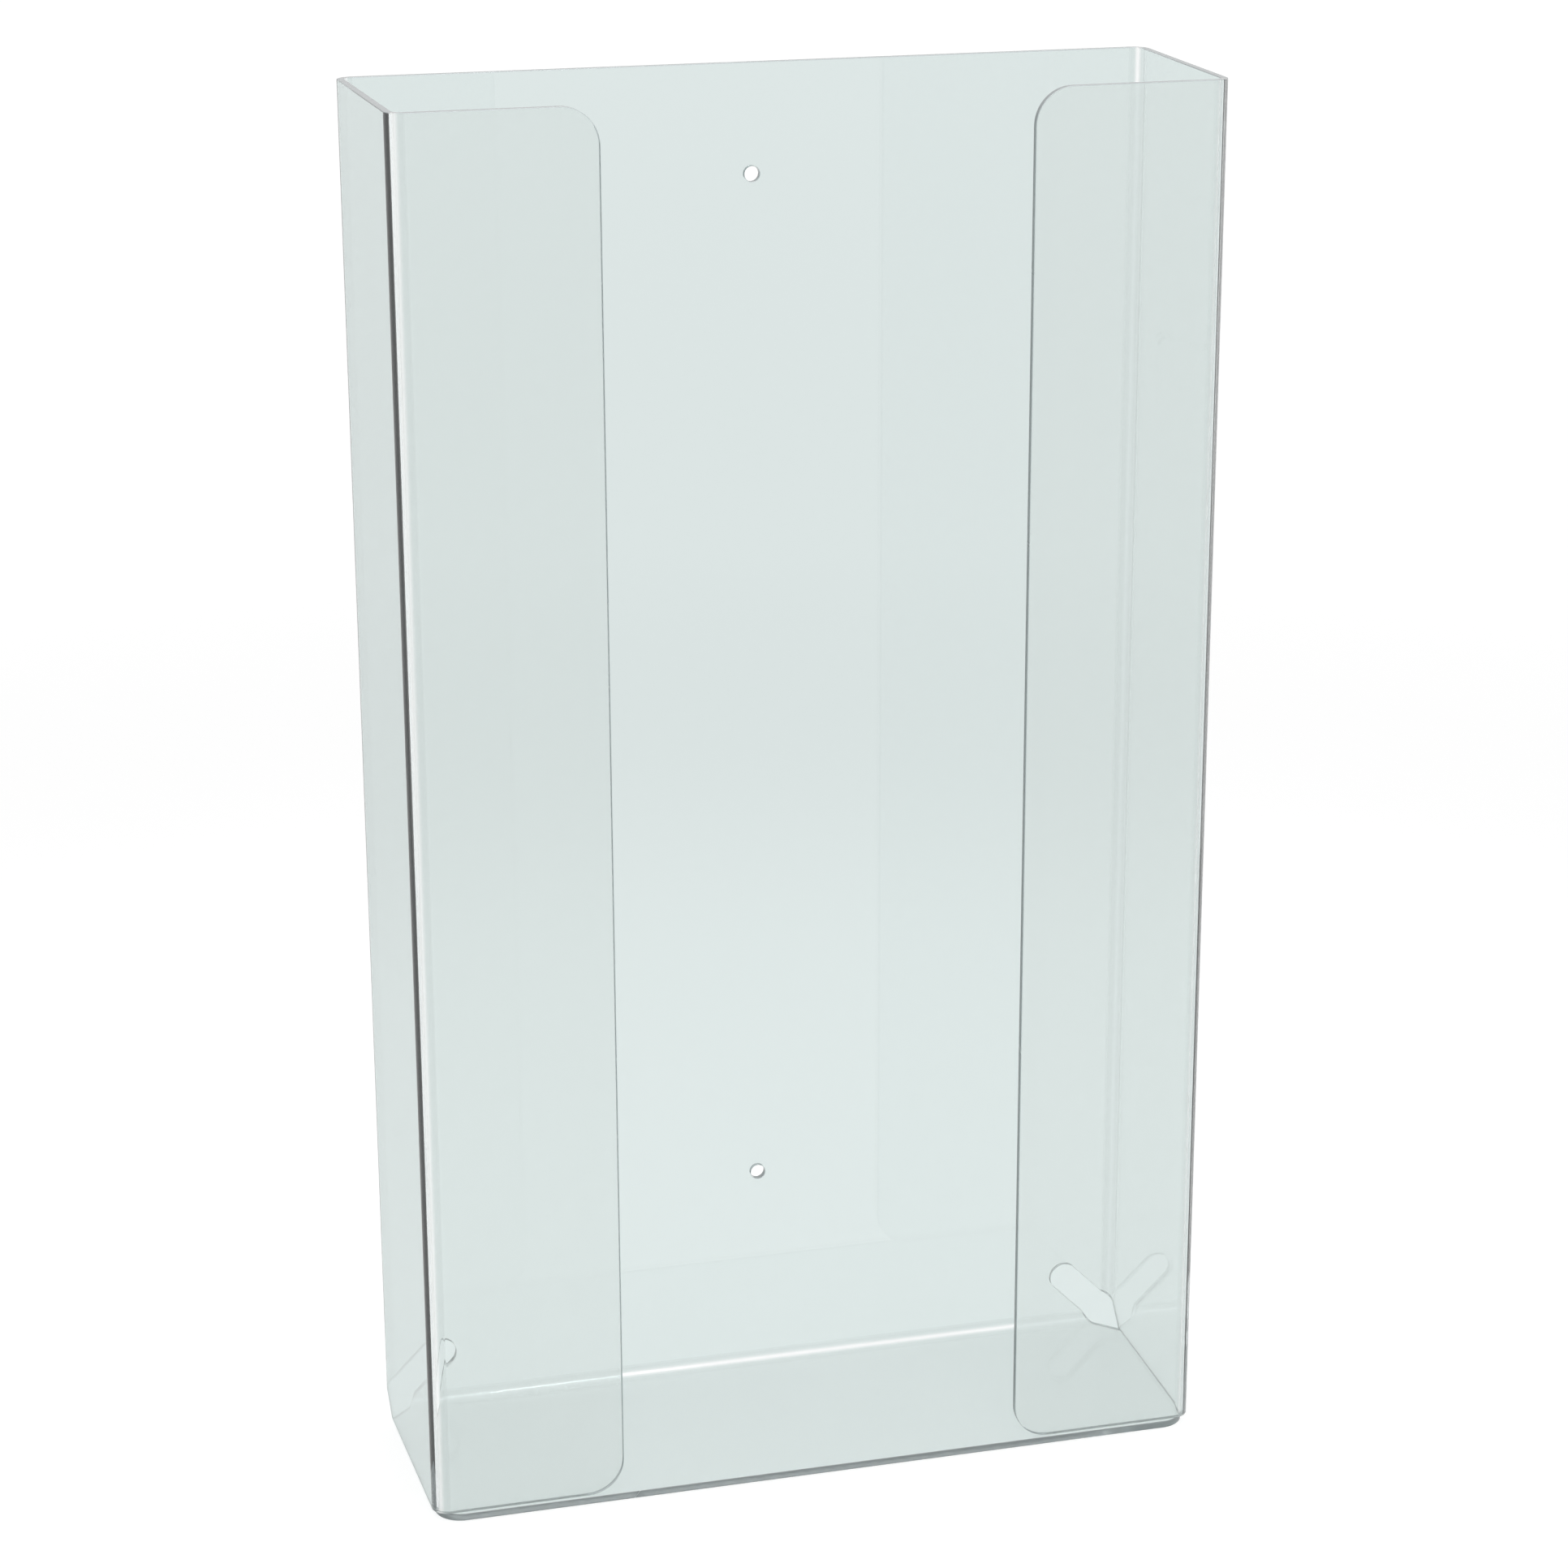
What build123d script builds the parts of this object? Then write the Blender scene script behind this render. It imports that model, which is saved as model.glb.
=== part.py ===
from build123d import *
import math
import os

# Clear dispenser for a stack of disposable glove boxes, folded from one plastic sheet.
# A back panel carries two side walls, which close in a little towards the front and end in
# two narrow front flaps. The floor is folded forward from the foot of the back panel, and the
# walls and flaps stand on it and are cemented to it. The top and the middle of the front are
# open. A round-ended relief slot frees each lower back corner, where three bends would meet.
#
# Millimetres. X runs across, the front faces -Y and Z is up. The origin is the middle of the
# underside of the floor. The body is drawn with its back face on y = 0 and is moved back to
# that origin at the end.

# Sheet and bends
sheet = 2.4
bend_inside = 3.0

# Overall form
height = 457.2
back_width = 266.6
toe_in = 2.2
wall_depth = 84.4

# Front flaps, either side of the open middle
flap_width = 63.4
flap_corner = 12.0

# Floor, which shows a lip in front of the flaps and stops short of the outside of the walls
floor_lip = 1.4
floor_inset = 1.5
floor_corner = 9.0

# Screw holes through the back panel, on its centre line, one near the top and one near the floor
hole_bore = 5.0
top_hole_drop = 35.6
low_hole_rise = 74.2

# Relief slots: their width, how far their round ends lie in and up from the corner, and how
# far forward their edges reach where they run out on the wall and on the floor
slot_width = 10.0
slot_reach = 20.0
wall_cut = 12.5
floor_cut = 14.9

# How far cutters overshoot, how thick they are where they go right through the sheet, and in
# how many steps they follow a bend
overshoot = 1.0
through = 2 * (sheet + overshoot)
bend_steps = 4

# Worked out from the values above
bend_outside = bend_inside + sheet
closing = math.degrees(math.atan2(toe_in, wall_depth))
setback = bend_outside / math.tan(math.radians(90 - closing) / 2)
flat_half = back_width / 2 - setback
mouth_half = back_width / 2 - toe_in - flap_width
floor_depth = wall_depth + floor_lip


def wall_x(y):
    """Outside of the right-hand wall at depth y."""
    return back_width / 2 + toe_in * y / wall_depth


def wall_band():
    """Side walls and front flaps with their four upright bends, drawn from above."""
    plan = Polyline(
        (wall_x(0), 0),
        (wall_x(-wall_depth), -wall_depth),
        (-wall_x(-wall_depth), -wall_depth),
        (-wall_x(0), 0),
        close=True,
    )
    outside = fillet(make_face(plan).vertices(), bend_outside)
    ring = outside - offset(outside, -sheet)
    mouth = Pos(0, -wall_depth) * Rectangle(2 * mouth_half, through)
    flat_back = Rectangle(2 * flat_half, through)
    band = extrude(Pos(0, 0, sheet) * (ring - mouth - flat_back), height - sheet)
    flap_corners = band.edges().filter_by(Axis.Y).group_by(Axis.Y)[0]
    return fillet(flap_corners, flap_corner)


def back_panel():
    """Flat of the back panel and the level bend at its foot, drawn from the side."""
    bend_axis = (-bend_outside, bend_outside)
    profile = Line((-sheet, bend_outside), (-sheet, height))
    profile += Line((-sheet, height), (0, height))
    profile += Line((0, height), (0, bend_outside))
    profile += CenterArc(bend_axis, bend_outside, 0, -90)
    profile += Line((-bend_outside, 0), (-bend_outside, sheet))
    profile += CenterArc(bend_axis, bend_inside, -90, 90)
    return extrude(Plane.YZ * make_face(profile), flat_half, both=True)


def floor_panel():
    """Flat of the floor, parallel to the walls, with rounded front corners."""
    back_x = wall_x(-bend_outside) - floor_inset
    front_x = wall_x(-floor_depth) - floor_inset
    plan = Polyline(
        (back_x, -bend_outside),
        (front_x, -floor_depth),
        (-front_x, -floor_depth),
        (-back_x, -bend_outside),
        close=True,
    )
    plate = make_face(plan)
    front_corners = plate.vertices().group_by(Axis.Y)[0]
    return extrude(fillet(front_corners, floor_corner), sheet)


def screw_holes():
    """The two round holes, one above the other."""
    drill = Rot(90, 0, 0) * Cylinder(hole_bore / 2, through)
    return [Pos(0, 0, level) * drill for level in (height - top_hole_drop, low_hole_rise)]


def cut_round_bend(axis_point, start, end, along, base, first, last):
    """Two cutters for one edge of a relief slot, over a bend and out on the flat after it.

    The bend turns from the direction start to the direction end about a line through
    axis_point that lies along the direction along. On that line the cut reaches from base
    to first where the bend begins and to last where it ends. The edge is square to the
    sheet all the way, and on the flat it goes back to base at 45 degrees.
    """
    turn = start.get_signed_angle(end, along)
    inner = bend_inside - overshoot
    outer = bend_outside + overshoot
    sections = []
    for step in range(bend_steps + 1):
        share = step / bend_steps
        radial = start.rotate(Axis((0, 0, 0), along), turn * share)
        level = first + (last - first) * share
        corners = [
            axis_point + radial * radius + along * place
            for radius, place in ((inner, base), (outer, base), (outer, level), (inner, level))
        ]
        sections.append(make_face(Polyline(*corners, close=True)))
    onward = end.rotate(Axis((0, 0, 0), along), math.copysign(90, turn))
    foot = axis_point + end * bend_inside
    triangle = make_face(
        Polyline(
            foot + along * base,
            foot + along * last,
            foot + along * base + onward * abs(last - base),
            close=True,
        )
    )
    return [loft(sections), extrude(triangle, sheet + overshoot, dir=end)]


def relief_slot():
    """Cutters for the right-hand lower back corner, from the back panel to both its ends."""
    half_mouth = slot_width / math.sqrt(2)
    corner_x = back_width / 2
    middle = Pos(corner_x - slot_reach / 2, 0, slot_reach / 2)
    slot = SlotCenterToCenter(slot_reach * math.sqrt(2), slot_width, rotation=-45)
    in_back = middle * extrude(Plane.XZ * slot, through / 2, both=True)
    over_wall = cut_round_bend(
        axis_point=Vector(flat_half, -bend_outside, 0),
        start=Vector(0, 1, 0),
        end=Vector(wall_depth, -toe_in).normalized(),
        along=Vector(0, 0, 1),
        base=sheet,
        first=corner_x + half_mouth - flat_half,
        last=sheet + wall_cut - bend_outside,
    )
    over_floor = cut_round_bend(
        axis_point=Vector(0, -bend_outside, bend_outside),
        start=Vector(0, 1, 0),
        end=Vector(0, 0, -1),
        along=Vector(1, 0, 0),
        base=corner_x,
        first=corner_x - half_mouth - bend_outside,
        last=corner_x + bend_outside - floor_cut,
    )
    return [in_back] + over_wall + over_floor


body = wall_band() + back_panel() + floor_panel()
for cutter in relief_slot():
    body -= cutter
    body -= mirror(cutter, Plane.YZ)
body -= screw_holes()
body = Pos(0, floor_depth / 2, 0) * body

os.makedirs("parts", exist_ok=True)
export_step(body, "parts/folded_sheet.step")
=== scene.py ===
import math

import bpy
from bpy.props import FloatProperty, FloatVectorProperty, IntProperty, PointerProperty
from mathutils import Matrix, Vector
from mathutils.geometry import delaunay_2d_cdt


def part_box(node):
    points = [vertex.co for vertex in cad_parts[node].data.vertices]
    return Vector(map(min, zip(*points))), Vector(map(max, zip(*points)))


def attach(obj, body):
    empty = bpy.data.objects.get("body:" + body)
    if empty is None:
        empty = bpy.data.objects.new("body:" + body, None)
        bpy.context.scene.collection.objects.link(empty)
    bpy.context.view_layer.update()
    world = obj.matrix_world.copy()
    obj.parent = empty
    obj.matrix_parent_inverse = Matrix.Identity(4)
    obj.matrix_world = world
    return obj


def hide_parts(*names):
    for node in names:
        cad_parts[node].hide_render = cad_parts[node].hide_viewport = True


# A clear holder for a stack of glove boxes, folded from one sheet of plastic.
# The sheet is cut flat, with its screw holes and relief slots, and is then folded along its
# bend lines by Geometry Nodes. Metres. X runs across, the front faces -Y and Z is up.

bl_info = {
    "name": "Clear Glove Box Holder",
    "version": (1, 0, 0),
    "blender": (4, 5, 0),
    "location": "3D View > Sidebar > Glove Box Holder",
    "description": "Builds a clear holder folded from one plastic sheet, and a pale stage for it",
    "category": "Object",
}

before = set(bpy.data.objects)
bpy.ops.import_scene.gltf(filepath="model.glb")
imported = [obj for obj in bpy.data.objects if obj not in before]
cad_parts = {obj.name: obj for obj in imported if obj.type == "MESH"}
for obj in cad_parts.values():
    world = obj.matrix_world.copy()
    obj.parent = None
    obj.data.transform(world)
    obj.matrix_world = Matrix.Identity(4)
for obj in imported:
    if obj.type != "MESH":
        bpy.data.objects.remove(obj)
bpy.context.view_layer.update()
sheet_low, sheet_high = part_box("folded_sheet")


class HolderSizes(bpy.types.PropertyGroup):
    thickness: FloatProperty(
        name="Sheet Thickness",
        description="Thickness of the plastic sheet",
        default=0.0024,
        min=0.0005,
        unit="LENGTH",
    )
    bend_inside: FloatProperty(
        name="Inside Bend Radius",
        description="Radius on the inside of every bend",
        default=0.003,
        min=0.0005,
        unit="LENGTH",
    )
    height: FloatProperty(
        name="Height",
        description="From the underside of the floor to the top edge",
        default=sheet_high.z,
        min=0.1,
        unit="LENGTH",
    )
    back_width: FloatProperty(
        name="Back Width",
        description="Across the back, between the outsides of the walls drawn to sharp corners",
        default=0.2666,
        min=0.1,
        unit="LENGTH",
    )
    wall_depth: FloatProperty(
        name="Wall Depth",
        description="From the back face to the front of the flaps",
        default=0.0844,
        min=0.03,
        unit="LENGTH",
    )
    toe_in: FloatProperty(
        name="Toe In",
        description="How far each side wall closes in towards the front",
        default=0.0022,
        min=0.0,
        unit="LENGTH",
    )
    flap_width: FloatProperty(
        name="Flap Width",
        description="Width of each front flap, measured from the outside of its wall",
        default=0.0634,
        min=0.02,
        unit="LENGTH",
    )
    flap_corner: FloatProperty(
        name="Flap Corner Radius",
        description="Radius of the rounded corners of the front flaps",
        default=0.012,
        min=0.001,
        unit="LENGTH",
    )
    floor_lip: FloatProperty(
        name="Floor Lip",
        description="How far the floor shows in front of the flaps",
        default=0.0014,
        min=0.0,
        unit="LENGTH",
    )
    floor_inset: FloatProperty(
        name="Floor Inset",
        description="How far the floor's side edges lie inside the outsides of the walls",
        default=0.0015,
        min=0.0,
        unit="LENGTH",
    )
    floor_corner: FloatProperty(
        name="Floor Corner Radius",
        description="Radius of the floor's two front corners",
        default=0.009,
        min=0.001,
        unit="LENGTH",
    )
    hole_bore: FloatProperty(
        name="Screw Hole",
        description="Diameter of the two screw holes",
        default=0.005,
        min=0.001,
        unit="LENGTH",
    )
    top_hole_drop: FloatProperty(
        name="Top Hole Below Edge",
        description="From the top edge down to the upper screw hole",
        default=0.0356,
        min=0.005,
        unit="LENGTH",
    )
    low_hole_rise: FloatProperty(
        name="Low Hole Above Floor",
        description="From the underside of the floor up to the lower screw hole",
        default=0.0742,
        min=0.02,
        unit="LENGTH",
    )
    slot_width: FloatProperty(
        name="Relief Slot Width",
        description="Width of the slots that free the lower back corners",
        default=0.010,
        min=0.002,
        unit="LENGTH",
    )
    slot_reach: FloatProperty(
        name="Relief Slot Reach",
        description="How far the slots' round ends lie in and up from the corner",
        default=0.020,
        min=0.01,
        unit="LENGTH",
    )
    wall_cut: FloatProperty(
        name="Cut on the Wall",
        description="How far forward the relief slot's upper edge reaches on the wall's foot",
        default=0.0125,
        min=0.006,
        unit="LENGTH",
    )
    floor_cut: FloatProperty(
        name="Cut on the Floor",
        description="How far forward the relief slot's lower edge reaches on the floor",
        default=0.0149,
        min=0.006,
        unit="LENGTH",
    )
    edge_break: FloatProperty(
        name="Edge Break",
        description="Rounding of the cut edges",
        default=0.0002,
        min=0.00005,
        unit="LENGTH",
    )
    bend_steps: IntProperty(
        name="Steps a Bend",
        description="How many flat strips make up each bend",
        default=28,
        min=4,
        max=64,
    )


class HolderLook(bpy.types.PropertyGroup):
    sheet_tint: FloatVectorProperty(
        name="Sheet Tint",
        description="Colour of the clear sheet",
        subtype="COLOR",
        size=3,
        min=0.0,
        max=1.0,
        default=(0.692, 0.762, 0.754),
    )
    later_tint: FloatVectorProperty(
        name="Tint Behind",
        description="Colour of the sheet where it is seen through another part of itself",
        subtype="COLOR",
        size=3,
        min=0.0,
        max=1.0,
        default=(0.94, 0.945, 0.94),
    )
    # Painted highlight: the pale streak along the middle of each bend stands in for a lamp's
    # highlight.
    bend_highlight_tint: FloatVectorProperty(
        name="Painted Bend Highlight",
        description="Colour of the narrow streak along the middle of each bend",
        subtype="COLOR",
        size=3,
        min=0.0,
        max=1.0,
        default=(1.0, 1.0, 1.0),
    )
    edge_tint: FloatVectorProperty(
        name="Edge Tint",
        description="Colour of the cut edges, which are a little hazy",
        subtype="COLOR",
        size=3,
        min=0.0,
        max=1.0,
        default=(0.72, 0.775, 0.79),
    )
    # Painted shade: the cut edges that face sideways are darker than those that face up or down.
    side_edge_tint_and_shade: FloatVectorProperty(
        name="Side Edge Tint and Shade",
        description="Colour of the cut edges that don't face up or down",
        subtype="COLOR",
        size=3,
        min=0.0,
        max=1.0,
        default=(0.50, 0.57, 0.575),
    )
    edge_roughness: FloatProperty(
        name="Cut Edge Roughness",
        description="How dull the cut edges are",
        default=0.12,
        min=0.0,
        max=1.0,
        subtype="FACTOR",
    )
    marks: FloatProperty(
        name="Handling Marks",
        description="How much the fine scratches and specks show",
        default=0.5,
        min=0.0,
        max=1.0,
        subtype="FACTOR",
    )


class StageSettings(bpy.types.PropertyGroup):
    floor_colour: FloatVectorProperty(
        name="Floor Colour",
        description="Colour of the plain floor",
        subtype="COLOR",
        size=3,
        min=0.0,
        max=1.0,
        default=(0.35, 0.35, 0.35),
    )
    white_level: FloatProperty(
        name="Background White",
        description="Light that the floor adds where it is seen, so that it shows as white",
        default=0.68,
        min=0.0,
        max=1.0,
        subtype="FACTOR",
    )
    room_light: FloatProperty(
        name="Room Light",
        description="Level of the even light from all round",
        default=0.95,
        min=0.0,
        max=2.0,
    )
    lamp_power: FloatProperty(
        name="Lamp Power",
        description="Power of the main soft lamp",
        default=6.0,
        min=0.0,
        unit="POWER",
    )
    lens: FloatProperty(
        name="Lens",
        description="Focal length of the camera on a 36 mm wide picture",
        default=88.59,
        min=10.0,
        subtype="DISTANCE_CAMERA",
    )


# The flat blank. Its points lie in (across, up), with the back panel where it stands.

floor_corner_steps = 20
round_end_steps = 28
hole_points = 48


def bend_lines(sizes):
    """Places of the bend lines on the blank, and the angles that the sheet turns there."""
    neutral = sizes.bend_inside + sizes.thickness / 2
    outside = sizes.bend_inside + sizes.thickness
    closing = math.atan2(sizes.toe_in, sizes.wall_depth)
    back_turn = math.pi / 2 + closing
    front_turn = math.pi / 2 - closing
    back_setback = outside * math.tan(back_turn / 2)
    front_setback = outside * math.tan(front_turn / 2)
    wall_outside = math.hypot(sizes.toe_in, sizes.wall_depth)
    back_start = sizes.back_width / 2 - back_setback
    back_end = back_start + neutral * back_turn
    front_start = back_end + wall_outside - back_setback - front_setback
    front_end = front_start + neutral * front_turn
    return {
        "neutral": neutral,
        "back_turn": back_turn,
        "front_turn": front_turn,
        "back_start": back_start,
        "back_end": back_end,
        "front_start": front_start,
        "front_end": front_end,
        "flap_edge": front_end + sizes.flap_width - front_setback,
        "level_start": outside,
        "level_end": outside - neutral * math.pi / 2,
    }


def arc(centre, radius, start, end, steps):
    """Points on an arc, angles in degrees."""
    points = []
    for step in range(steps + 1):
        angle = math.radians(start + (end - start) * step / steps)
        reach = Vector((math.cos(angle), math.sin(angle))) * radius
        points.append(Vector(centre) + reach)
    return points


def rounded_corner(before, corner, after, radius, steps):
    """Points on the arc that rounds a corner off."""
    before, corner, after = Vector(before), Vector(corner), Vector(after)
    back, onward = (before - corner).normalized(), (after - corner).normalized()
    half = back.angle(onward) / 2
    centre = corner + (back + onward).normalized() * (radius / math.sin(half))
    first = corner + back * (radius / math.tan(half)) - centre
    last = corner + onward * (radius / math.tan(half)) - centre
    turn = first.angle_signed(last)
    points = []
    for step in range(steps + 1):
        angle = -turn * step / steps
        points.append(centre + Matrix.Rotation(angle, 2) @ first)
    return points


def half_outline(sizes, lines):
    """The right half of the blank's outline, from the middle of the floor's front edge round
    to the middle of the top edge."""
    foot = sizes.thickness
    corner_x = sizes.back_width / 2
    outside = sizes.bend_inside + sizes.thickness
    half_mouth = sizes.slot_width / math.sqrt(2)
    narrowing = sizes.toe_in / sizes.wall_depth
    reach = sizes.slot_reach
    slot_centre = (corner_x - reach, reach)
    on_wall = foot + sizes.wall_cut - outside
    on_floor = corner_x + outside - sizes.floor_cut

    # Floor, with its side edge along the wall
    front_depth = sizes.wall_depth + sizes.floor_lip
    front_v = lines["level_end"] - (front_depth - outside)
    front_x = corner_x - front_depth * narrowing - sizes.floor_inset
    level_x = corner_x - outside * narrowing - sizes.floor_inset
    ahead = (level_x - on_floor) / (1 + narrowing)
    side_v = lines["level_end"] - ahead
    side = (on_floor + ahead, side_v)
    points = [Vector((0, front_v))]
    corner = (front_x, front_v)
    points += rounded_corner((0, front_v), corner, side, sizes.floor_corner, floor_corner_steps)
    points.append(Vector(side))

    # Relief slot, over the level bend, round its end and over the upright bend to the wall's foot
    points.append(Vector((on_floor, lines["level_end"])))
    points.append(Vector((corner_x - half_mouth - outside, lines["level_start"])))
    points += arc(slot_centre, sizes.slot_width / 2, 225, 45, round_end_steps)
    first = corner_x + half_mouth - lines["back_start"]
    points.append(Vector((lines["back_start"], first)))
    points.append(Vector((lines["back_end"], on_wall)))
    points.append(Vector((lines["back_end"] + on_wall - foot, foot)))

    # Flap
    edge = lines["flap_edge"]
    radius = sizes.flap_corner
    points += arc((edge - radius, foot + radius), radius, -90, 0, round_end_steps)
    points += arc((edge - radius, sizes.height - radius), radius, 0, 90, round_end_steps)
    points.append(Vector((0, sizes.height)))
    return points


def blank_loops(sizes, lines):
    """The blank's outline and its two screw holes, each with the sheet on its left."""
    right = half_outline(sizes, lines)
    left = [Vector((-p.x, p.y)) for p in reversed(right[1:-1])]
    loops = [right + left]
    for level in (sizes.height - sizes.top_hole_drop, sizes.low_hole_rise):
        last = 360 / hole_points
        loops.append(arc((0, level), sizes.hole_bore / 2, 360, last, hole_points - 1))
    return loops


def moved_out(points, distance):
    """A loop moved away from the sheet by distance, or into it where that is negative."""
    moved = []
    for i, point in enumerate(points):
        before = (point - points[i - 1]).normalized()
        after = (points[(i + 1) % len(points)] - point).normalized()
        out_before = Vector((before.y, -before.x))
        out_after = Vector((after.y, -after.x))
        share = 1 + out_before.dot(out_after)
        moved.append(point + (out_before + out_after) * (distance / share))
    return moved


def fold_lines(sizes, lines, hold):
    """Lines across the blank along which its faces are cut, so that they can fold."""
    cuts = []
    steps = sizes.bend_steps
    foot = sizes.thickness
    for start, end in (("back_start", "back_end"), ("front_start", "front_end")):
        first, last = lines[start], lines[end]
        places = [first + (last - first) * step / steps for step in range(steps + 1)]
        places = [first - hold] + places + [last + hold]
        for place in places:
            for side in (-1, 1):
                low, high = (side * place, foot - hold), (side * place, sizes.height + hold)
                cuts.append((low, high))
    first, last = lines["level_start"], lines["level_end"]
    places = [first + (last - first) * step / steps for step in range(steps + 1)]
    places = [first + hold] + places + [last - hold]
    half = sizes.back_width / 2 - sizes.thickness
    cuts += [((-half, place), (half, place)) for place in places]
    return cuts


def inside(point, loops):
    """True if the point lies on the sheet."""
    found = False
    for loop in loops:
        for i, b in enumerate(loop):
            a = loop[i - 1]
            if (a.y > point.y) != (b.y > point.y):
                crossing = a.x + (b.x - a.x) * (point.y - a.y) / (b.y - a.y)
                if point.x < crossing:
                    found = not found
    return found


def cut_faces(loops, cuts):
    """Triangles that cover the sheet inside the loops, cut along every line."""
    per_metre = 1000.0
    points, edges = [], []
    for loop in loops:
        first = len(points)
        points += [p * per_metre for p in loop]
        edges += [(first + i, first + (i + 1) % len(loop)) for i in range(len(loop))]
    for a, b in cuts:
        edges.append((len(points), len(points) + 1))
        points += [Vector(a) * per_metre, Vector(b) * per_metre]
    found = delaunay_2d_cdt(points, edges, [], 0, 1e-5)
    places, faces = found[0], found[2]
    scaled = [p / per_metre for p in places]
    kept = []
    for face in faces:
        middle = sum((scaled[i] for i in face), Vector((0, 0))) / len(face)
        if inside(middle, loops):
            kept.append(face)
    return scaled, kept


def border_loops(faces):
    """Loops of points along the border of the faces, with the faces on their left."""
    edges = {(f[i - 1], f[i]) for f in faces for i in range(len(f))}
    onward = {a: b for a, b in edges if (b, a) not in edges}
    loops = []
    while onward:
        start, point = onward.popitem()
        loop = [start]
        while point != start:
            loop.append(point)
            point = onward.pop(point)
        loops.append(loop)
    return loops


def blank_mesh(sizes, lines):
    """The flat sheet as a closed mesh with rounded cut edges. The inside of the holder faces -Y."""
    half = sizes.thickness / 2
    round_off = sizes.edge_break
    hold = round_off
    loops = [moved_out(loop, -(hold + round_off)) for loop in blank_loops(sizes, lines)]
    places, faces = cut_faces(loops, fold_lines(sizes, lines, 2 * hold))
    used = sorted({i for face in faces for i in face})
    number = {old: new for new, old in enumerate(used)}
    flat = [places[i] for i in used]
    faces = [[number[i] for i in face] for face in faces]

    # Outside first, then the inside, then rings of points round every border
    verts = [(p.x, half, p.y) for p in flat] + [(p.x, -half, p.y) for p in flat]
    polygons = [list(reversed(face)) for face in faces]
    polygons += [[i + len(flat) for i in face] for face in faces]
    cut = [False] * len(polygons)
    lean = round_off * math.sin(math.pi / 4)
    edge_half = half - round_off
    upper = [
        (hold, half),
        (hold + lean, half - round_off + lean),
        (hold + round_off, edge_half),
        (hold + round_off, edge_half - hold),
    ]
    profile = upper + [(out, -level) for out, level in reversed(upper)]
    for loop in border_loops(faces):
        points = [flat[i] for i in loop]
        rings = [list(loop)]
        for out, level in profile:
            first = len(verts)
            verts += [(p.x, level, p.y) for p in moved_out(points, out)]
            rings.append(list(range(first, first + len(loop))))
        rings.append([i + len(flat) for i in loop])
        for level, (ring, below) in enumerate(zip(rings, rings[1:])):
            for i in range(len(loop)):
                j = (i + 1) % len(loop)
                polygons.append([ring[i], ring[j], below[j], below[i]])
                cut.append(0 < level < len(rings) - 2)
    mesh = bpy.data.meshes.new("flat_blank")
    mesh.from_pydata(verts, [], polygons)
    mesh.polygons.foreach_set("use_smooth", [True] * len(polygons))
    cut_edge = mesh.attributes.new("cut_edge", "BOOLEAN", "FACE")
    cut_edge.data.foreach_set("value", cut)
    mesh.validate()
    return mesh


# Geometry Nodes that fold the blank


def maths(tree, operation, *values):
    """A Math node's output, from sockets or numbers."""
    node = tree.nodes.new("ShaderNodeMath")
    node.operation = operation
    for i, value in enumerate(values):
        if isinstance(value, (int, float)):
            node.inputs[i].default_value = value
        else:
            tree.links.new(value, node.inputs[i])
    return node.outputs[0]


def add_socket(tree, name, kind, default=None, output=False, subtype=None):
    """One named input or output of a node group."""
    way = "OUTPUT" if output else "INPUT"
    socket = tree.interface.new_socket(name, in_out=way, socket_type=kind)
    if subtype:
        socket.subtype = subtype
    if default is not None:
        socket.default_value = default
    return socket.identifier


def bend_group():
    """Node group that bends a flat sheet about one line, as a hot wire and a press do."""
    tree = bpy.data.node_groups.new("Bend Along a Line", "GeometryNodeTree")
    add_socket(tree, "Past the Line", "NodeSocketFloat", 0.0)
    add_socket(tree, "Outward", "NodeSocketFloat", 0.0)
    add_socket(tree, "Turn", "NodeSocketFloat", math.pi / 2, subtype="ANGLE")
    add_socket(tree, "Neutral Radius", "NodeSocketFloat", 0.004, subtype="DISTANCE")
    add_socket(tree, "Along", "NodeSocketFloat", output=True)
    add_socket(tree, "Outward", "NodeSocketFloat", output=True)
    add_socket(tree, "Heat and Highlight", "NodeSocketFloat", output=True)
    given = tree.nodes.new("NodeGroupInput").outputs
    past, outward, turn, neutral = given[0], given[1], given[2], given[3]
    angle = maths(tree, "MAXIMUM", maths(tree, "DIVIDE", past, neutral), 0.0)
    angle = maths(tree, "MINIMUM", angle, turn)
    flat_after = maths(tree, "SUBTRACT", past, maths(tree, "MULTIPLY", neutral, turn))
    flat_after = maths(tree, "MAXIMUM", flat_after, 0.0)
    flat_before = maths(tree, "MINIMUM", past, 0.0)
    radius = maths(tree, "ADD", neutral, outward)
    sine, cosine = maths(tree, "SINE", angle), maths(tree, "COSINE", angle)
    along = maths(tree, "MULTIPLY_ADD", sine, radius, flat_before)
    along = maths(tree, "MULTIPLY_ADD", cosine, flat_after, along)
    risen = maths(tree, "MULTIPLY_ADD", cosine, radius, maths(tree, "MULTIPLY", neutral, -1.0))
    risen = maths(tree, "SUBTRACT", risen, maths(tree, "MULTIPLY", sine, flat_after))

    # The sheet was heated most along the middle of the bend, and not at all outside it. The same
    # value places the painted highlight along the middle of each bend.
    share = maths(tree, "DIVIDE", angle, turn)
    heat_and_highlight = maths(tree, "MULTIPLY", share, maths(tree, "SUBTRACT", 1.0, share))
    heat_and_highlight = maths(tree, "MULTIPLY", heat_and_highlight, 4.0)
    result = tree.nodes.new("NodeGroupOutput")
    tree.links.new(along, result.inputs[0])
    tree.links.new(risen, result.inputs[1])
    tree.links.new(heat_and_highlight, result.inputs[2])
    return tree


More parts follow.
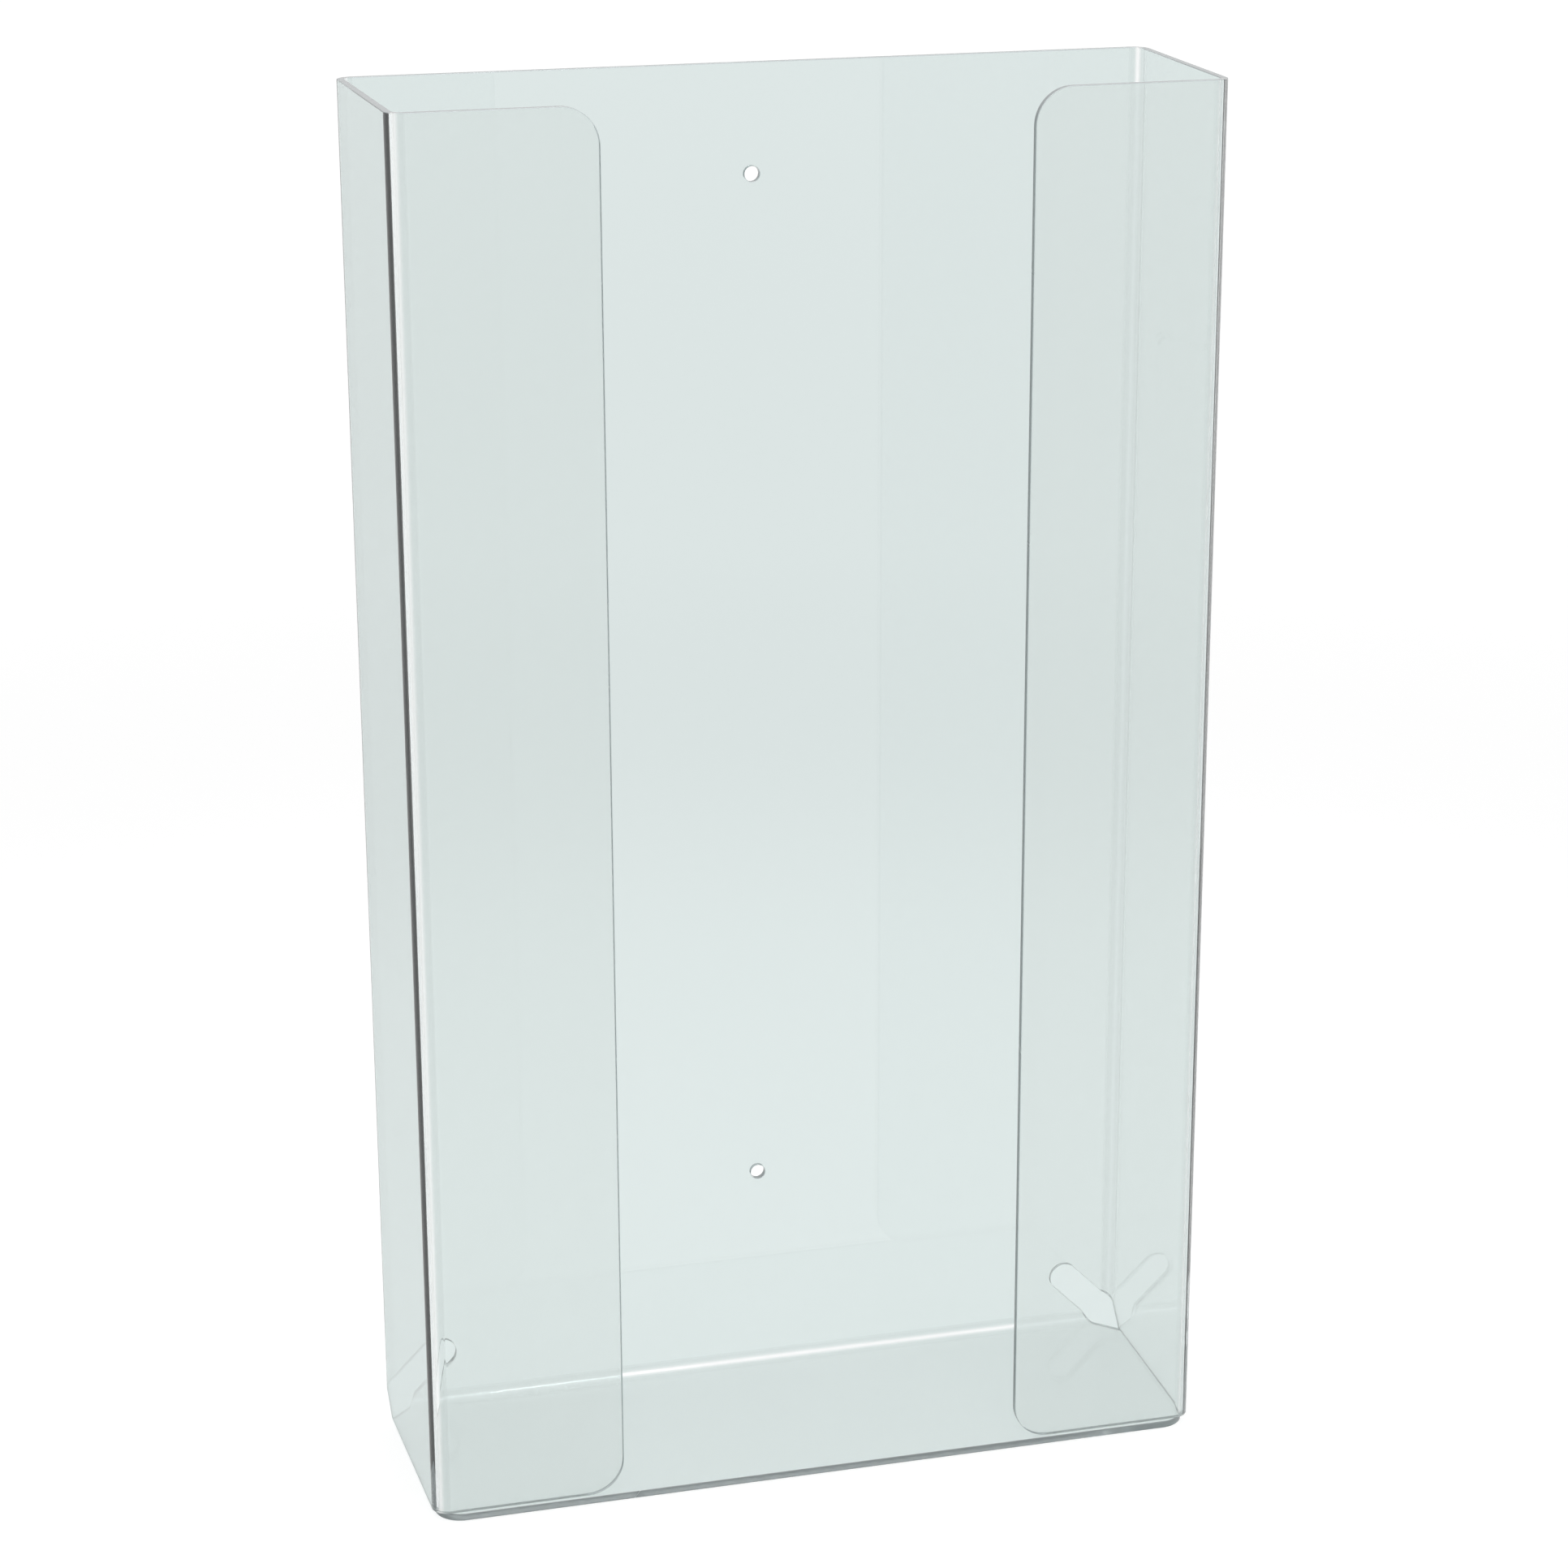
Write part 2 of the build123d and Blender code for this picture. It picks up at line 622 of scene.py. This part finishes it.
def fold_tree(bend):
    """Geometry Nodes that fold the flaps, the walls and the floor of the blank."""
    tree = bpy.data.node_groups.new("Fold the Blank", "GeometryNodeTree")
    names = {}
    add_socket(tree, "Geometry", "NodeSocketGeometry")
    for name in ("Front Bend", "Back Bend", "Level Bend", "Neutral Radius", "Corner", "Back Face"):
        names[name] = add_socket(tree, name, "NodeSocketFloat", 0.0, subtype="DISTANCE")
    for name in ("Front Turn", "Back Turn"):
        names[name] = add_socket(tree, name, "NodeSocketFloat", 0.0, subtype="ANGLE")
    for name in ("Sheet Material", "Bend Material", "Edge Material"):
        names[name] = add_socket(tree, name, "NodeSocketMaterial")
    add_socket(tree, "Geometry", "NodeSocketGeometry", output=True)
    given = tree.nodes.new("NodeGroupInput").outputs

    def place():
        position = tree.nodes.new("GeometryNodeInputPosition")
        split = tree.nodes.new("ShaderNodeSeparateXYZ")
        tree.links.new(position.outputs[0], split.inputs[0])
        return split.outputs[0], split.outputs[1], split.outputs[2]

    def bent(past, outward, turn):
        node = tree.nodes.new("GeometryNodeGroup")
        node.node_tree = bend
        tree.links.new(past, node.inputs["Past the Line"])
        tree.links.new(outward, node.inputs["Outward"])
        if isinstance(turn, float):
            node.inputs["Turn"].default_value = turn
        else:
            tree.links.new(turn, node.inputs["Turn"])
        tree.links.new(given["Neutral Radius"], node.inputs["Neutral Radius"])
        return node.outputs

    def named(kind, name):
        node = tree.nodes.new("GeometryNodeInputNamedAttribute")
        node.data_type = kind
        node.inputs["Name"].default_value = name
        return node.outputs["Attribute"]

    def stored(geometry, kind, name, value, chosen=None):
        node = tree.nodes.new("GeometryNodeStoreNamedAttribute")
        node.data_type = kind
        node.domain = "POINT"
        node.inputs["Name"].default_value = name
        tree.links.new(geometry, node.inputs["Geometry"])
        tree.links.new(value, node.inputs["Value"])
        if chosen is not None:
            tree.links.new(chosen, node.inputs["Selection"])
        return node.outputs[0]

    def painted(geometry, material, chosen=None):
        node = tree.nodes.new("GeometryNodeSetMaterial")
        tree.links.new(geometry, node.inputs["Geometry"])
        tree.links.new(material, node.inputs["Material"])
        if chosen is not None:
            tree.links.new(chosen, node.inputs["Selection"])
        return node.outputs[0]

    def put(geometry, chosen, x, y, z):
        joined = tree.nodes.new("ShaderNodeCombineXYZ")
        for i, part in enumerate((x, y, z)):
            tree.links.new(part, joined.inputs[i])
        node = tree.nodes.new("GeometryNodeSetPosition")
        tree.links.new(geometry, node.inputs["Geometry"])
        tree.links.new(chosen, node.inputs["Selection"])
        tree.links.new(joined.outputs[0], node.inputs["Position"])
        return node.outputs[0]

    # The relief slots part the floor from the walls, along the line where across + up = corner
    x, y, z = place()
    reach = maths(tree, "ADD", maths(tree, "ABSOLUTE", x), z)
    above = maths(tree, "GREATER_THAN", reach, given["Corner"])
    geometry = stored(given["Geometry"], "BOOLEAN", "above_slots", above)
    walls = named("BOOLEAN", "above_slots")
    others = tree.nodes.new("FunctionNodeBooleanMath")
    others.operation = "NOT"
    tree.links.new(walls, others.inputs[0])
    floor = others.outputs[0]

    for line, turn in (("Front Bend", "Front Turn"), ("Back Bend", "Back Turn")):
        x, y, z = place()
        width = maths(tree, "ABSOLUTE", x)
        turned = bent(maths(tree, "SUBTRACT", width, given[line]), y, given[turn])
        most_heat_and_highlight = maths(tree, "MAXIMUM", named("FLOAT", "heat_and_highlight"), turned["Heat and Highlight"])
        geometry = stored(geometry, "FLOAT", "heat_and_highlight", most_heat_and_highlight, walls)
        across = maths(tree, "ADD", given[line], turned["Along"])
        across = maths(tree, "MULTIPLY", across, maths(tree, "SIGN", x))
        geometry = put(geometry, walls, across, turned["Outward"], z)
    x, y, z = place()
    turned = bent(maths(tree, "SUBTRACT", given["Level Bend"], z), y, math.pi / 2)
    geometry = stored(geometry, "FLOAT", "heat_and_highlight", turned["Heat and Highlight"], floor)
    level = maths(tree, "SUBTRACT", given["Level Bend"], turned["Along"])
    geometry = put(geometry, floor, x, turned["Outward"], level)

    shift = tree.nodes.new("ShaderNodeCombineXYZ")
    tree.links.new(given["Back Face"], shift.inputs[1])
    moved = tree.nodes.new("GeometryNodeTransform")
    tree.links.new(geometry, moved.inputs["Geometry"])
    tree.links.new(shift.outputs[0], moved.inputs["Translation"])
    real = tree.nodes.new("GeometryNodeRealizeInstances")
    tree.links.new(moved.outputs[0], real.inputs[0])
    in_bend = maths(tree, "GREATER_THAN", named("FLOAT", "heat_and_highlight"), 0.001)
    finish = painted(real.outputs[0], given["Sheet Material"])
    finish = painted(finish, given["Bend Material"], in_bend)
    finish = painted(finish, given["Edge Material"], named("BOOLEAN", "cut_edge"))
    result = tree.nodes.new("NodeGroupOutput")
    tree.links.new(finish, result.inputs[0])
    return tree, names


def folded(mesh, name, tree, values):
    """The mesh after the node tree with these inputs, as a plain object."""
    flat = bpy.data.objects.new("flat_blank", mesh)
    bpy.context.scene.collection.objects.link(flat)
    modifier = flat.modifiers.new("Fold", "NODES")
    modifier.node_group = tree
    for identifier, value in values.items():
        modifier[identifier] = value
    evaluated = flat.evaluated_get(bpy.context.evaluated_depsgraph_get())
    result = bpy.data.meshes.new_from_object(evaluated)
    result.name = name
    for unused in ("above_slots", "cut_edge"):
        if unused in result.attributes:
            result.attributes.remove(result.attributes[unused])
    piece = bpy.data.objects.new(name, result)
    bpy.context.scene.collection.objects.link(piece)
    bpy.data.objects.remove(flat)
    bpy.data.meshes.remove(mesh)
    return piece


# Finishes


def handling_marks_group():
    """Shader group for hairline scratches and small specks, on Object coordinates."""
    tree = bpy.data.node_groups.new("Handling Marks", "ShaderNodeTree")
    add_socket(tree, "Scratch Scale", "NodeSocketFloat", 9.0)
    add_socket(tree, "Speck Scale", "NodeSocketFloat", 260.0)
    add_socket(tree, "Amount", "NodeSocketFloat", 1.0)
    add_socket(tree, "Mask", "NodeSocketFloat", output=True)
    given = tree.nodes.new("NodeGroupInput").outputs
    where = tree.nodes.new("ShaderNodeTexCoord").outputs["Object"]

    def noise(scale):
        node = tree.nodes.new("ShaderNodeTexNoise")
        node.inputs["Detail"].default_value = 0.0
        tree.links.new(where, node.inputs["Vector"])
        tree.links.new(scale, node.inputs["Scale"])
        return node.outputs[0]

    # A scratch follows a level line of a slow noise, where the fast noise lets it through.
    # A speck is one of the few highest tops of the fast noise.
    wander, fast = noise(given["Scratch Scale"]), noise(given["Speck Scale"])
    off_line = maths(tree, "ABSOLUTE", maths(tree, "SUBTRACT", wander, 0.5))
    line = maths(tree, "LESS_THAN", off_line, 0.0008)
    line = maths(tree, "MULTIPLY", line, maths(tree, "GREATER_THAN", fast, 0.62))
    speck = maths(tree, "GREATER_THAN", fast, 0.905)
    mask = maths(tree, "MULTIPLY", maths(tree, "MAXIMUM", line, speck), given["Amount"])
    result = tree.nodes.new("NodeGroupOutput")
    tree.links.new(mask, result.inputs[0])
    return tree


def clear_plastic(
    name, look, marks, tint, slant, clearness, roughness, dullness, ripple, level_tint=None
):
    """Clear acrylic. The first sheet that is met takes the tint, and lamps shine through it.

    slant is how many sheets' worth of tint shows far aslant, clearness is the share of light
    that isn't scattered, dullness is how far the roughness wanders and ripple is how finely.
    level_tint is for faces that look up or down, where they differ; on the cut edges the darker
    colour of the faces that look sideways is painted shade.
    """
    material = bpy.data.materials.new(name)
    material.use_nodes = True
    tree = material.node_tree
    tree.nodes.clear()
    shader = tree.nodes.new("ShaderNodeBsdfPrincipled")
    shader.inputs["IOR"].default_value = 1.49
    shader.inputs["Transmission Weight"].default_value = clearness
    path = tree.nodes.new("ShaderNodeLightPath").outputs

    def mixed(factor, a, b):
        node = tree.nodes.new("ShaderNodeMix")
        node.data_type = "RGBA"
        tree.links.new(factor, node.inputs["Factor"])
        for name, colour in (("A", a), ("B", b)):
            if isinstance(colour, tuple):
                node.inputs[name].default_value = colour
            else:
                tree.links.new(colour, node.inputs[name])
        return node.outputs["Result"]

    # Seen far aslant, the sheet is deeper in colour
    aslant = tree.nodes.new("ShaderNodeLayerWeight")
    aslant.inputs["Blend"].default_value = 0.5
    slant_gain, slant_offset = 6.0, -4.15
    steep = maths(tree, "MULTIPLY_ADD", aslant.outputs["Facing"], slant_gain, slant_offset)
    steep = maths(tree, "MINIMUM", maths(tree, "MAXIMUM", steep, 0.0), 1.0)
    deep = (*(c**slant for c in tint), 1.0)
    first_sheet = maths(tree, "LESS_THAN", path["Transmission Depth"], 1.5)
    near = mixed(steep, (*tint, 1.0), deep)
    # Faces that look up or down take level_tint and the others keep tint; on the cut edges the
    # sideways faces are darker, as painted shade.
    if level_tint is not None:
        geometry = tree.nodes.new("ShaderNodeNewGeometry")
        facing = tree.nodes.new("ShaderNodeSeparateXYZ")
        tree.links.new(geometry.outputs["Normal"], facing.inputs[0])
        upright = maths(tree, "ABSOLUTE", facing.outputs[2])
        near = mixed(upright, (*tint, 1.0), (*level_tint, 1.0))
    colour = mixed(first_sheet, (*look.later_tint, 1.0), near)

    # Along the middle of a bend a narrow pale streak is painted into the colour: a painted
    # highlight, the same under any light.
    heat_and_highlight = tree.nodes.new("ShaderNodeAttribute")
    heat_and_highlight.attribute_name = "heat_and_highlight"
    narrowness = 10.0
    streak = maths(tree, "POWER", heat_and_highlight.outputs["Fac"], narrowness)
    colour = mixed(streak, colour, (*look.bend_highlight_tint, 1.0))
    tree.links.new(colour, shader.inputs["Base Color"])

    marked = tree.nodes.new("ShaderNodeGroup")
    marked.node_tree = marks
    marked.inputs["Amount"].default_value = look.marks
    where = tree.nodes.new("ShaderNodeTexCoord").outputs["Object"]
    wave = tree.nodes.new("ShaderNodeTexNoise")
    wave.inputs["Scale"].default_value = ripple
    wave.inputs["Detail"].default_value = 0.0
    tree.links.new(where, wave.inputs["Vector"])
    rough = maths(tree, "MULTIPLY_ADD", wave.outputs[0], dullness, roughness)
    mark_roughness = 0.3
    rough = maths(tree, "MULTIPLY_ADD", marked.outputs["Mask"], mark_roughness, rough)
    tree.links.new(rough, shader.inputs["Roughness"])
    bump = tree.nodes.new("ShaderNodeBump")
    bump.inputs["Strength"].default_value = 0.03
    bump.inputs["Distance"].default_value = 0.0005
    tree.links.new(wave.outputs[0], bump.inputs["Height"])
    tree.links.new(bump.outputs[0], shader.inputs["Normal"])

    lamps = tree.nodes.new("ShaderNodeBsdfTransparent")
    lamps.inputs["Color"].default_value = (0.90, 0.93, 0.925, 1.0)
    choose = tree.nodes.new("ShaderNodeMixShader")
    tree.links.new(path["Is Shadow Ray"], choose.inputs[0])
    tree.links.new(shader.outputs[0], choose.inputs[1])
    tree.links.new(lamps.outputs[0], choose.inputs[2])
    result = tree.nodes.new("ShaderNodeOutputMaterial")
    tree.links.new(choose.outputs[0], result.inputs["Surface"])
    return material


class HOLDER_OT_fold_sheet(bpy.types.Operator):
    """Cut the clear sheet flat and fold it into the holder"""

    bl_idname = "holder.fold_sheet"
    bl_label = "Fold the Clear Sheet"

    def execute(self, context):
        sizes, look = context.scene.holder_sizes, context.scene.holder_look
        lines = bend_lines(sizes)
        marks = handling_marks_group()
        clear = clear_plastic(
            "clear_sheet",
            look,
            marks,
            tint=look.sheet_tint,
            slant=3.8,
            clearness=1.0,
            roughness=0.0,
            dullness=0.01,
            ripple=14.0,
        )
        bend = clear_plastic(
            "heated_bend",
            look,
            marks,
            tint=look.sheet_tint,
            slant=1.5,
            clearness=0.92,
            roughness=0.01,
            dullness=0.03,
            ripple=60.0,
        )
        edge = clear_plastic(
            "cut_edge",
            look,
            marks,
            tint=look.side_edge_tint_and_shade,
            slant=1.0,
            clearness=0.5,
            roughness=look.edge_roughness,
            dullness=0.05,
            ripple=900.0,
            level_tint=look.edge_tint,
        )
        tree, names = fold_tree(bend_group())
        values = {
            names["Front Bend"]: lines["front_start"],
            names["Back Bend"]: lines["back_start"],
            names["Level Bend"]: lines["level_start"],
            names["Neutral Radius"]: lines["neutral"],
            names["Corner"]: sizes.back_width / 2,
            names["Back Face"]: sheet_high.y - sizes.thickness / 2,
            names["Front Turn"]: lines["front_turn"],
            names["Back Turn"]: lines["back_turn"],
            names["Sheet Material"]: clear,
            names["Bend Material"]: bend,
            names["Edge Material"]: edge,
        }
        piece = folded(blank_mesh(sizes, lines), "bent_clear_sheet", tree, values)
        fewest_faces = 1000
        if len(piece.data.polygons) < fewest_faces:
            raise RuntimeError("the folded sheet has too few faces")
        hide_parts("folded_sheet")
        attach(piece, "root")
        return {"FINISHED"}


def seen_directly(tree):
    """One for rays from the camera, and for those off or through something shiny or clear."""
    path = tree.nodes.new("ShaderNodeLightPath").outputs
    seen = maths(tree, "MAXIMUM", path["Is Camera Ray"], path["Is Glossy Ray"])
    return maths(tree, "MAXIMUM", seen, path["Is Transmission Ray"])


def floor_material(stage):
    """Pale floor. It shows the holder's shadow, and adds light of its own only where seen."""
    material = bpy.data.materials.new("plain_floor")
    material.use_nodes = True
    tree = material.node_tree
    tree.nodes.clear()
    diffuse = tree.nodes.new("ShaderNodeBsdfDiffuse")
    diffuse.inputs["Color"].default_value = (*stage.floor_colour, 1.0)
    glow = tree.nodes.new("ShaderNodeEmission")

    # The paper is a little brighter close by and far off than it is in between
    where = tree.nodes.new("ShaderNodeTexCoord").outputs["Object"]
    length = tree.nodes.new("ShaderNodeVectorMath")
    length.operation = "LENGTH"
    tree.links.new(where, length.inputs[0])
    falloff = tree.nodes.new("ShaderNodeValToRGB")
    falloff.color_ramp.interpolation = "B_SPLINE"
    stops = ((0.0, 0.5), (0.12, 0.55), (0.19, 0.0), (0.30, 0.35), (1.0, 0.8))
    while len(falloff.color_ramp.elements) < len(stops):
        falloff.color_ramp.elements.new(0.5)
    for element, (place, level) in zip(falloff.color_ramp.elements, stops):
        element.position = place
        element.color = (level, level, level, 1.0)
    reach = 4.0
    tree.links.new(maths(tree, "DIVIDE", length.outputs["Value"], reach), falloff.inputs[0])
    uneven = 0.13
    glowing = maths(tree, "MULTIPLY_ADD", falloff.outputs[0], uneven, stage.white_level)
    glowing = maths(tree, "MULTIPLY", seen_directly(tree), glowing)
    tree.links.new(glowing, glow.inputs["Strength"])
    both = tree.nodes.new("ShaderNodeAddShader")
    tree.links.new(diffuse.outputs[0], both.inputs[0])
    tree.links.new(glow.outputs[0], both.inputs[1])
    result = tree.nodes.new("ShaderNodeOutputMaterial")
    tree.links.new(both.outputs[0], result.inputs["Surface"])
    return material


def plain_world(stage):
    """Even light from all round, which shows as white behind the holder."""
    world = bpy.data.worlds.new("plain_room")
    world.use_nodes = True
    tree = world.node_tree
    tree.nodes.clear()
    extra = 1.0 - stage.room_light
    level = maths(tree, "MULTIPLY_ADD", seen_directly(tree), extra, stage.room_light)
    background = tree.nodes.new("ShaderNodeBackground")
    tree.links.new(level, background.inputs["Strength"])
    result = tree.nodes.new("ShaderNodeOutputWorld")
    tree.links.new(background.outputs[0], result.inputs["Surface"])
    return world


def soft_lamp(name, place, target, size, power, hidden=True):
    """A flat lamp at place that shines at target. Neither the camera nor light that comes
    through clear things sees it where it is hidden."""
    data = bpy.data.lights.new(name, "AREA")
    data.shape = "RECTANGLE"
    data.size, data.size_y = size
    data.energy = power
    lamp = bpy.data.objects.new(name, data)
    place, target = Vector(place), Vector(target)
    turn = (target - place).to_track_quat("-Z", "Y").to_matrix().to_4x4()
    lamp.matrix_world = Matrix.Translation(place) @ turn
    lamp.visible_camera = not hidden
    lamp.visible_transmission = not hidden
    bpy.context.scene.collection.objects.link(lamp)
    return lamp


class HOLDER_OT_set_stage(bpy.types.Operator):
    """Lay the plain floor, light it softly and place the camera"""

    bl_idname = "holder.set_stage"
    bl_label = "Set the Stage"

    def execute(self, context):
        scene, stage = context.scene, context.scene.holder_stage
        reach = 30.0
        clearance = 0.0004
        under = sheet_low.z - clearance
        mesh = bpy.data.meshes.new("floor")
        corners = [(-reach, -reach), (reach, -reach), (reach, reach), (-reach, reach)]
        mesh.from_pydata([(x, y, under) for x, y in corners], [], [(0, 1, 2, 3)])
        mesh.materials.append(floor_material(stage))
        floor = bpy.data.objects.new("floor", mesh)
        scene.collection.objects.link(floor)
        scene.world = plain_world(stage)
        power = stage.lamp_power
        soft_lamp("top_lamp", (-0.1, -0.9, 1.5), (0, 0, 0.2), (0.9, 0.9), power, hidden=False)
        for name, side in (("left_strip", -1), ("right_strip", 1)):
            place, target = (0.75 * side, -0.1, 0.02), (0.2 * side, 0, 0.5)
            soft_lamp(name, place, target, (0.5, 0.9), power / 4)

        # A small lamp high up shows as a bright line in the level bend
        high = soft_lamp("high_lamp", (0.19, -0.73, 1.5), (-0.09, 0.04, 0), (0.12, 0.3), power / 5)
        high.visible_diffuse = False

        # The photograph was taken a little from the left and from above
        yaw, pitch, roll = math.radians(15.17), math.radians(17.90), math.radians(-0.20)
        ahead = Vector(
            (
                math.sin(yaw) * math.cos(pitch),
                math.cos(yaw) * math.cos(pitch),
                -math.sin(pitch),
            )
        )
        right = ahead.cross(Vector((0, 0, 1))).normalized()
        up = right.cross(ahead)
        across = right * math.cos(roll) + up * math.sin(roll)
        upright = up * math.cos(roll) - right * math.sin(roll)
        turn = Matrix((across, upright, -ahead)).transposed().to_4x4()
        data = bpy.data.cameras.new("camera")
        data.lens = stage.lens
        data.sensor_width = 36.0
        camera = bpy.data.objects.new("camera", data)
        camera_place = (-0.31456, -1.15601, 0.61568)
        camera.matrix_world = Matrix.Translation(camera_place) @ turn
        scene.collection.objects.link(camera)
        scene.camera = camera
        scene.view_settings.view_transform = "Standard"
        scene.cycles.max_bounces = 20
        scene.cycles.glossy_bounces = 12
        scene.cycles.transmission_bounces = 16
        return {"FINISHED"}


class HOLDER_PT_panel(bpy.types.Panel):
    bl_label = "Glove Box Holder"
    bl_idname = "HOLDER_PT_panel"
    bl_space_type = "VIEW_3D"
    bl_region_type = "UI"
    bl_category = "Glove Box Holder"

    def draw(self, context):
        column = self.layout.column(align=True)
        for operator in operators:
            column.operator(operator.bl_idname)
        for settings in ("holder_sizes", "holder_look", "holder_stage"):
            group = getattr(context.scene, settings)
            box = self.layout.box()
            for name in group.bl_rna.properties.keys():
                if name not in ("rna_type", "name"):
                    box.prop(group, name)


operators = (HOLDER_OT_fold_sheet, HOLDER_OT_set_stage)
classes = (HolderSizes, HolderLook, StageSettings, *operators, HOLDER_PT_panel)


def register():
    for entry in classes:
        bpy.utils.register_class(entry)
    bpy.types.Scene.holder_sizes = PointerProperty(type=HolderSizes)
    bpy.types.Scene.holder_look = PointerProperty(type=HolderLook)
    bpy.types.Scene.holder_stage = PointerProperty(type=StageSettings)


def unregister():
    del bpy.types.Scene.holder_stage
    del bpy.types.Scene.holder_look
    del bpy.types.Scene.holder_sizes
    for entry in reversed(classes):
        bpy.utils.unregister_class(entry)


def main():
    register()
    bpy.ops.holder.fold_sheet()
    bpy.ops.holder.set_stage()


if __name__ == "__main__":
    main()
